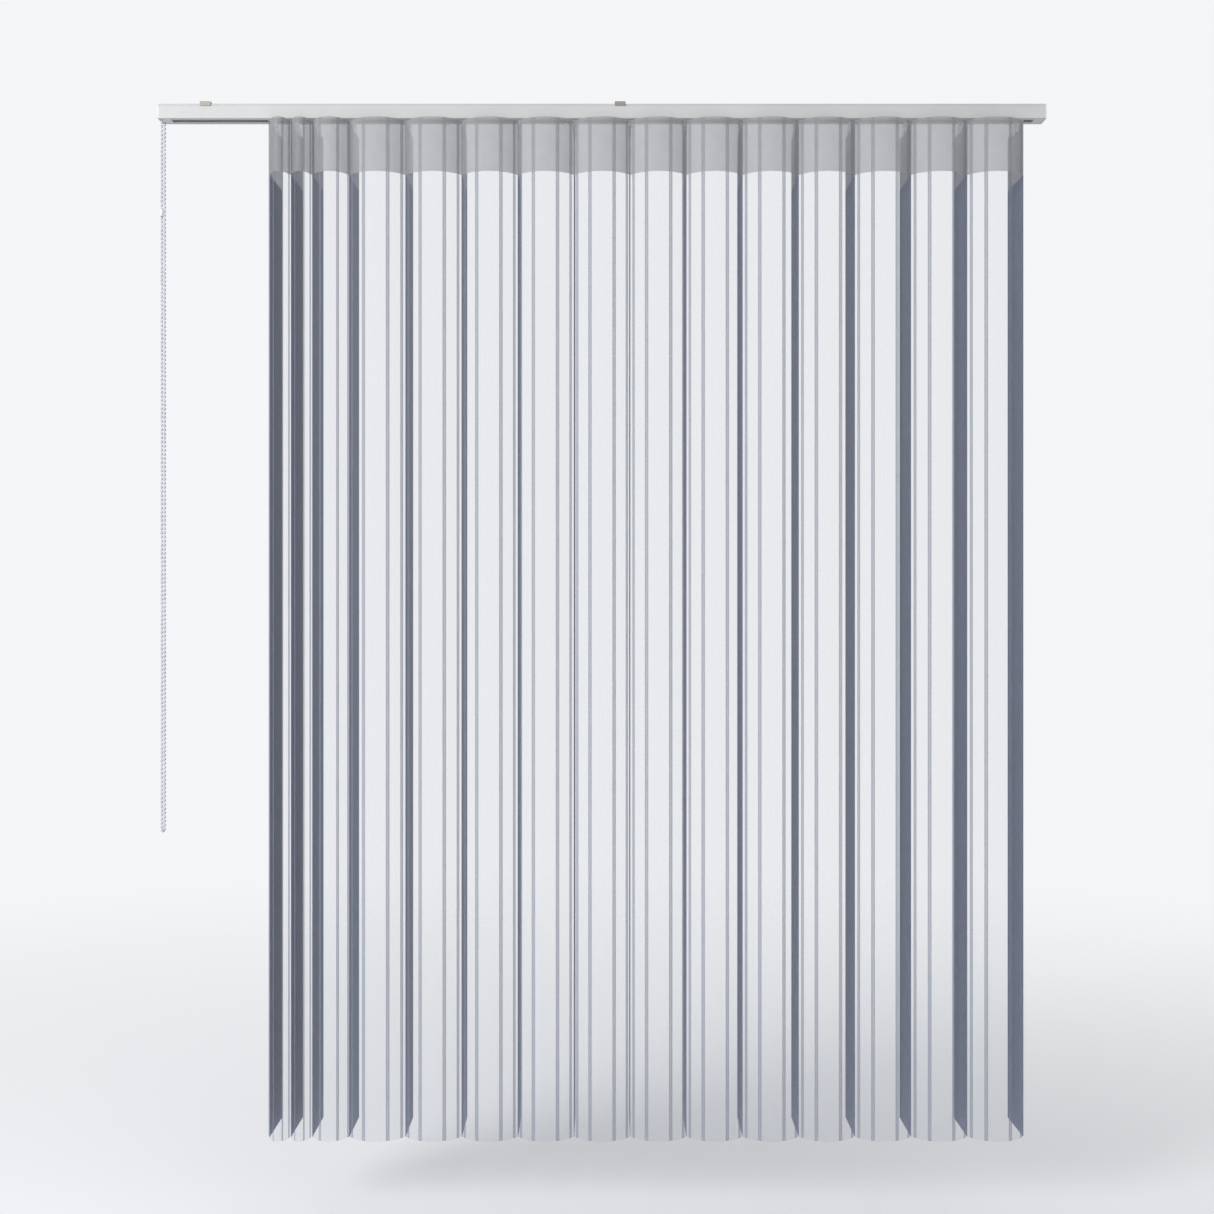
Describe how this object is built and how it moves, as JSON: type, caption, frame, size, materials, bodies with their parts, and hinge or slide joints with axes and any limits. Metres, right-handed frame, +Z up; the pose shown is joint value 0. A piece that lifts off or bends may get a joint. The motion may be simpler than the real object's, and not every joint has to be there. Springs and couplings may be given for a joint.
{
  "type": "vertical blind",
  "caption": "Ceiling-fixed vertical blind: flat opaque vanes square to the window, joined by sheer striped panels that bow forward, under a slim headrail with a bead chain.",
  "frame": {"origin": "centre of the middle bracket's top face, against the ceiling", "axes": "+Z up, -Y towards the room, +X along the headrail towards the stacked end"},
  "size_m": [1.283, 0.1111, 1.4841],
  "materials": {
    "rail_aluminium": "satin white paint",
    "end_moulding": "fine moulded white",
    "white_moulding": "moulded white",
    "spring_steel": "plated",
    "bare_aluminium": "extruded",
    "bead_plastic": "glossy white beads",
    "vane_cloth": "close opaque blue-grey weave with a translucent header",
    "sheer_weave": "sheer voile with narrow woven stripes"
  },
  "bodies": {
    "headrail": {"rail": "rail_aluminium", "control_housing": "end_moulding", "end_cap": "end_moulding", "bracket_left": "spring_steel", "bracket_middle": "spring_steel", "bead_chain": "bead_plastic", "chain_connector": "white_moulding", "carrier_16": "white_moulding"},
    "drive": {"sprocket": "white_moulding", "tilt_rod": "bare_aluminium"},
    "carrier_01": {"carrier_01": "white_moulding"},
    "carrier_02": {"carrier_02": "white_moulding"},
    "carrier_03": {"carrier_03": "white_moulding"},
    "carrier_04": {"carrier_04": "white_moulding"},
    "carrier_05": {"carrier_05": "white_moulding"},
    "carrier_06": {"carrier_06": "white_moulding"},
    "carrier_07": {"carrier_07": "white_moulding"},
    "carrier_08": {"carrier_08": "white_moulding"},
    "carrier_09": {"carrier_09": "white_moulding"},
    "carrier_10": {"carrier_10": "white_moulding"},
    "carrier_11": {"carrier_11": "white_moulding"},
    "carrier_12": {"carrier_12": "white_moulding"},
    "carrier_13": {"carrier_13": "white_moulding"},
    "carrier_14": {"carrier_14": "white_moulding"},
    "carrier_15": {"carrier_15": "white_moulding"},
    "louvre_01": {"louvre_01": "vane_cloth"},
    "louvre_02": {"louvre_02": "vane_cloth"},
    "louvre_03": {"louvre_03": "vane_cloth"},
    "louvre_04": {"louvre_04": "vane_cloth"},
    "louvre_05": {"louvre_05": "vane_cloth"},
    "louvre_06": {"louvre_06": "vane_cloth"},
    "louvre_07": {"louvre_07": "vane_cloth"},
    "louvre_08": {"louvre_08": "vane_cloth"},
    "louvre_09": {"louvre_09": "vane_cloth"},
    "louvre_10": {"louvre_10": "vane_cloth"},
    "louvre_11": {"louvre_11": "vane_cloth"},
    "louvre_12": {"louvre_12": "vane_cloth"},
    "louvre_13": {"louvre_13": "vane_cloth"},
    "louvre_14": {"louvre_14": "vane_cloth"},
    "louvre_15": {"louvre_15": "vane_cloth"},
    "louvre_16": {"louvre_16": "vane_cloth"},
    "sheer_01": {"sheer_01": "sheer_weave"},
    "sheer_02": {"sheer_02": "sheer_weave"},
    "sheer_03": {"sheer_03": "sheer_weave"},
    "sheer_04": {"sheer_04": "sheer_weave"},
    "sheer_05": {"sheer_05": "sheer_weave"},
    "sheer_06": {"sheer_06": "sheer_weave"},
    "sheer_07": {"sheer_07": "sheer_weave"},
    "sheer_08": {"sheer_08": "sheer_weave"},
    "sheer_09": {"sheer_09": "sheer_weave"},
    "sheer_10": {"sheer_10": "sheer_weave"},
    "sheer_11": {"sheer_11": "sheer_weave"},
    "sheer_12": {"sheer_12": "sheer_weave"},
    "sheer_13": {"sheer_13": "sheer_weave"},
    "sheer_14": {"sheer_14": "sheer_weave"},
    "sheer_15": {"sheer_15": "sheer_weave"},
    "leading_hem": {"leading_hem": "sheer_weave"}
  },
  "joints": [
    {"name": "gather", "type": "slide", "parent": "headrail", "child": "carrier_04", "axis": [1, 0, 0], "range_m": [0, 0.6], "deforming": ["sheer_04", "sheer_05", "sheer_06", "sheer_07", "sheer_08", "sheer_09", "sheer_10", "sheer_11", "sheer_12", "sheer_13", "sheer_14", "sheer_15"]},
    {"name": "carry_05", "type": "slide", "parent": "headrail", "child": "carrier_05", "axis": [1, 0, 0], "range_m": [0, 0.5505]},
    {"name": "carry_06", "type": "slide", "parent": "headrail", "child": "carrier_06", "axis": [1, 0, 0], "range_m": [0, 0.5005]},
    {"name": "carry_07", "type": "slide", "parent": "headrail", "child": "carrier_07", "axis": [1, 0, 0], "range_m": [0, 0.4505]},
    {"name": "carry_08", "type": "slide", "parent": "headrail", "child": "carrier_08", "axis": [1, 0, 0], "range_m": [0, 0.4005]},
    {"name": "carry_09", "type": "slide", "parent": "headrail", "child": "carrier_09", "axis": [1, 0, 0], "range_m": [0, 0.3505]},
    {"name": "carry_10", "type": "slide", "parent": "headrail", "child": "carrier_10", "axis": [1, 0, 0], "range_m": [0, 0.3005]},
    {"name": "carry_11", "type": "slide", "parent": "headrail", "child": "carrier_11", "axis": [1, 0, 0], "range_m": [0, 0.2505]},
    {"name": "carry_12", "type": "slide", "parent": "headrail", "child": "carrier_12", "axis": [1, 0, 0], "range_m": [0, 0.2005]},
    {"name": "carry_13", "type": "slide", "parent": "headrail", "child": "carrier_13", "axis": [1, 0, 0], "range_m": [0, 0.1505]},
    {"name": "carry_14", "type": "slide", "parent": "headrail", "child": "carrier_14", "axis": [1, 0, 0], "range_m": [0, 0.1005]},
    {"name": "carry_15", "type": "slide", "parent": "headrail", "child": "carrier_15", "axis": [1, 0, 0], "range_m": [0, 0.0505]},
    {"name": "spread", "type": "slide", "parent": "carrier_04", "child": "carrier_01", "axis": [1, 0, 0], "range_m": [-0.112, 0], "deforming": ["sheer_01", "sheer_02", "sheer_03"]},
    {"name": "carry_02", "type": "slide", "parent": "carrier_04", "child": "carrier_02", "axis": [1, 0, 0], "range_m": [-0.06777, 0]},
    {"name": "carry_03", "type": "slide", "parent": "carrier_04", "child": "carrier_03", "axis": [1, 0, 0], "range_m": [-0.02293, 0]},
    {"name": "tilt", "type": "hinge", "parent": "headrail", "child": "louvre_16", "pos_m": [0.5739, 0, 0], "axis": [0, 0, 1], "range_deg": [-80, 80]},
    {"name": "turn_01", "type": "hinge", "parent": "carrier_01", "child": "louvre_01", "pos_m": [-0.4995, 0, 0], "axis": [0, 0, 1], "range_deg": [-81, 81]},
    {"name": "turn_02", "type": "hinge", "parent": "carrier_02", "child": "louvre_02", "pos_m": [-0.4691, 0, 0], "axis": [0, 0, 1], "range_deg": [-81, 81]},
    {"name": "turn_03", "type": "hinge", "parent": "carrier_03", "child": "louvre_03", "pos_m": [-0.4388, 0, 0], "axis": [0, 0, 1], "range_deg": [-81, 81]},
    {"name": "turn_04", "type": "hinge", "parent": "carrier_04", "child": "louvre_04", "pos_m": [-0.3861, 0, 0], "axis": [0, 0, 1], "range_deg": [-81, 81]},
    {"name": "turn_05", "type": "hinge", "parent": "carrier_05", "child": "louvre_05", "pos_m": [-0.3061, 0, 0], "axis": [0, 0, 1], "range_deg": [-81, 81]},
    {"name": "turn_06", "type": "hinge", "parent": "carrier_06", "child": "louvre_06", "pos_m": [-0.2261, 0, 0], "axis": [0, 0, 1], "range_deg": [-81, 81]},
    {"name": "turn_07", "type": "hinge", "parent": "carrier_07", "child": "louvre_07", "pos_m": [-0.1461, 0, 0], "axis": [0, 0, 1], "range_deg": [-81, 81]},
    {"name": "turn_08", "type": "hinge", "parent": "carrier_08", "child": "louvre_08", "pos_m": [-0.0661, 0, 0], "axis": [0, 0, 1], "range_deg": [-81, 81]},
    {"name": "turn_09", "type": "hinge", "parent": "carrier_09", "child": "louvre_09", "pos_m": [0.0139, 0, 0], "axis": [0, 0, 1], "range_deg": [-81, 81]},
    {"name": "turn_10", "type": "hinge", "parent": "carrier_10", "child": "louvre_10", "pos_m": [0.0939, 0, 0], "axis": [0, 0, 1], "range_deg": [-81, 81]},
    {"name": "turn_11", "type": "hinge", "parent": "carrier_11", "child": "louvre_11", "pos_m": [0.1739, 0, 0], "axis": [0, 0, 1], "range_deg": [-81, 81]},
    {"name": "turn_12", "type": "hinge", "parent": "carrier_12", "child": "louvre_12", "pos_m": [0.2539, 0, 0], "axis": [0, 0, 1], "range_deg": [-81, 81]},
    {"name": "turn_13", "type": "hinge", "parent": "carrier_13", "child": "louvre_13", "pos_m": [0.3339, 0, 0], "axis": [0, 0, 1], "range_deg": [-81, 81]},
    {"name": "turn_14", "type": "hinge", "parent": "carrier_14", "child": "louvre_14", "pos_m": [0.4139, 0, 0], "axis": [0, 0, 1], "range_deg": [-81, 81]},
    {"name": "turn_15", "type": "hinge", "parent": "carrier_15", "child": "louvre_15", "pos_m": [0.4939, 0, 0], "axis": [0, 0, 1], "range_deg": [-81, 81]},
    {"name": "seam_03", "type": "hinge", "parent": "louvre_04", "child": "sheer_03", "pos_m": [-0.3861, -0.0442, 0], "axis": [0, 0, 1], "range_deg": [-81, 81]},
    {"name": "seam_04", "type": "hinge", "parent": "louvre_05", "child": "sheer_04", "pos_m": [-0.3061, -0.0442, 0], "axis": [0, 0, 1], "range_deg": [-81, 81]},
    {"name": "seam_05", "type": "hinge", "parent": "louvre_06", "child": "sheer_05", "pos_m": [-0.2261, -0.0442, 0], "axis": [0, 0, 1], "range_deg": [-81, 81]},
    {"name": "seam_06", "type": "hinge", "parent": "louvre_07", "child": "sheer_06", "pos_m": [-0.1461, -0.0442, 0], "axis": [0, 0, 1], "range_deg": [-81, 81]},
    {"name": "seam_07", "type": "hinge", "parent": "louvre_08", "child": "sheer_07", "pos_m": [-0.0661, -0.0442, 0], "axis": [0, 0, 1], "range_deg": [-81, 81]},
    {"name": "seam_08", "type": "hinge", "parent": "louvre_09", "child": "sheer_08", "pos_m": [0.0139, -0.0442, 0], "axis": [0, 0, 1], "range_deg": [-81, 81]},
    {"name": "seam_09", "type": "hinge", "parent": "louvre_10", "child": "sheer_09", "pos_m": [0.0939, -0.0442, 0], "axis": [0, 0, 1], "range_deg": [-81, 81]},
    {"name": "seam_10", "type": "hinge", "parent": "louvre_11", "child": "sheer_10", "pos_m": [0.1739, -0.0442, 0], "axis": [0, 0, 1], "range_deg": [-81, 81]},
    {"name": "seam_11", "type": "hinge", "parent": "louvre_12", "child": "sheer_11", "pos_m": [0.2539, -0.0442, 0], "axis": [0, 0, 1], "range_deg": [-81, 81]},
    {"name": "seam_12", "type": "hinge", "parent": "louvre_13", "child": "sheer_12", "pos_m": [0.3339, -0.0442, 0], "axis": [0, 0, 1], "range_deg": [-81, 81]},
    {"name": "seam_13", "type": "hinge", "parent": "louvre_14", "child": "sheer_13", "pos_m": [0.4139, -0.0442, 0], "axis": [0, 0, 1], "range_deg": [-81, 81]},
    {"name": "seam_14", "type": "hinge", "parent": "louvre_15", "child": "sheer_14", "pos_m": [0.4939, -0.0442, 0], "axis": [0, 0, 1], "range_deg": [-81, 81]},
    {"name": "seam_15", "type": "hinge", "parent": "louvre_16", "child": "sheer_15", "pos_m": [0.5739, -0.0442, 0], "axis": [0, 0, 1], "range_deg": [-81, 81]},
    {"name": "stretch_03", "type": "slide", "parent": "sheer_03", "child": "sheer_02", "axis": [1, 0, 0], "range_m": [-0.02293, 0]},
    {"name": "stretch_02", "type": "slide", "parent": "sheer_02", "child": "sheer_01", "axis": [1, 0, 0], "range_m": [-0.04533, 0]},
    {"name": "stretch_01", "type": "slide", "parent": "sheer_01", "child": "leading_hem", "axis": [1, 0, 0], "range_m": [-0.04523, 0]},
    {"name": "drive_turn", "type": "hinge", "parent": "headrail", "child": "drive", "pos_m": [0.5739, 0, -0.0145], "axis": [1, 0, 0], "range_deg": [-645, 645]}
  ],
  "couplings": [
    {"joint": "carry_05", "follows": "gather", "ratio": 0.91667},
    {"joint": "carry_06", "follows": "gather", "ratio": 0.83333},
    {"joint": "carry_07", "follows": "gather", "ratio": 0.75},
    {"joint": "carry_08", "follows": "gather", "ratio": 0.66667},
    {"joint": "carry_09", "follows": "gather", "ratio": 0.58333},
    {"joint": "carry_10", "follows": "gather", "ratio": 0.5},
    {"joint": "carry_11", "follows": "gather", "ratio": 0.41667},
    {"joint": "carry_12", "follows": "gather", "ratio": 0.33333},
    {"joint": "carry_13", "follows": "gather", "ratio": 0.25},
    {"joint": "carry_14", "follows": "gather", "ratio": 0.16667},
    {"joint": "carry_15", "follows": "gather", "ratio": 0.083333},
    {"joint": "carry_02", "follows": "spread", "ratio": 0.60059},
    {"joint": "carry_03", "follows": "spread", "ratio": 0.2003},
    {"joint": "turn_01", "follows": "tilt", "ratio": 1},
    {"joint": "turn_02", "follows": "tilt", "ratio": 1},
    {"joint": "turn_03", "follows": "tilt", "ratio": 1},
    {"joint": "turn_04", "follows": "tilt", "ratio": 1},
    {"joint": "turn_05", "follows": "tilt", "ratio": 1},
    {"joint": "turn_06", "follows": "tilt", "ratio": 1},
    {"joint": "turn_07", "follows": "tilt", "ratio": 1},
    {"joint": "turn_08", "follows": "tilt", "ratio": 1},
    {"joint": "turn_09", "follows": "tilt", "ratio": 1},
    {"joint": "turn_10", "follows": "tilt", "ratio": 1},
    {"joint": "turn_11", "follows": "tilt", "ratio": 1},
    {"joint": "turn_12", "follows": "tilt", "ratio": 1},
    {"joint": "turn_13", "follows": "tilt", "ratio": 1},
    {"joint": "turn_14", "follows": "tilt", "ratio": 1},
    {"joint": "turn_15", "follows": "tilt", "ratio": 1},
    {"joint": "seam_03", "follows": "tilt", "ratio": -1},
    {"joint": "seam_04", "follows": "tilt", "ratio": -1},
    {"joint": "seam_05", "follows": "tilt", "ratio": -1},
    {"joint": "seam_06", "follows": "tilt", "ratio": -1},
    {"joint": "seam_07", "follows": "tilt", "ratio": -1},
    {"joint": "seam_08", "follows": "tilt", "ratio": -1},
    {"joint": "seam_09", "follows": "tilt", "ratio": -1},
    {"joint": "seam_10", "follows": "tilt", "ratio": -1},
    {"joint": "seam_11", "follows": "tilt", "ratio": -1},
    {"joint": "seam_12", "follows": "tilt", "ratio": -1},
    {"joint": "seam_13", "follows": "tilt", "ratio": -1},
    {"joint": "seam_14", "follows": "tilt", "ratio": -1},
    {"joint": "seam_15", "follows": "tilt", "ratio": -1},
    {"joint": "stretch_03", "follows": "spread", "ratio": 0.2003},
    {"joint": "stretch_02", "follows": "spread", "ratio": 0.4003},
    {"joint": "stretch_01", "follows": "spread", "ratio": 0.39941},
    {"joint": "drive_turn", "follows": "tilt", "ratio": 8}
  ]
}
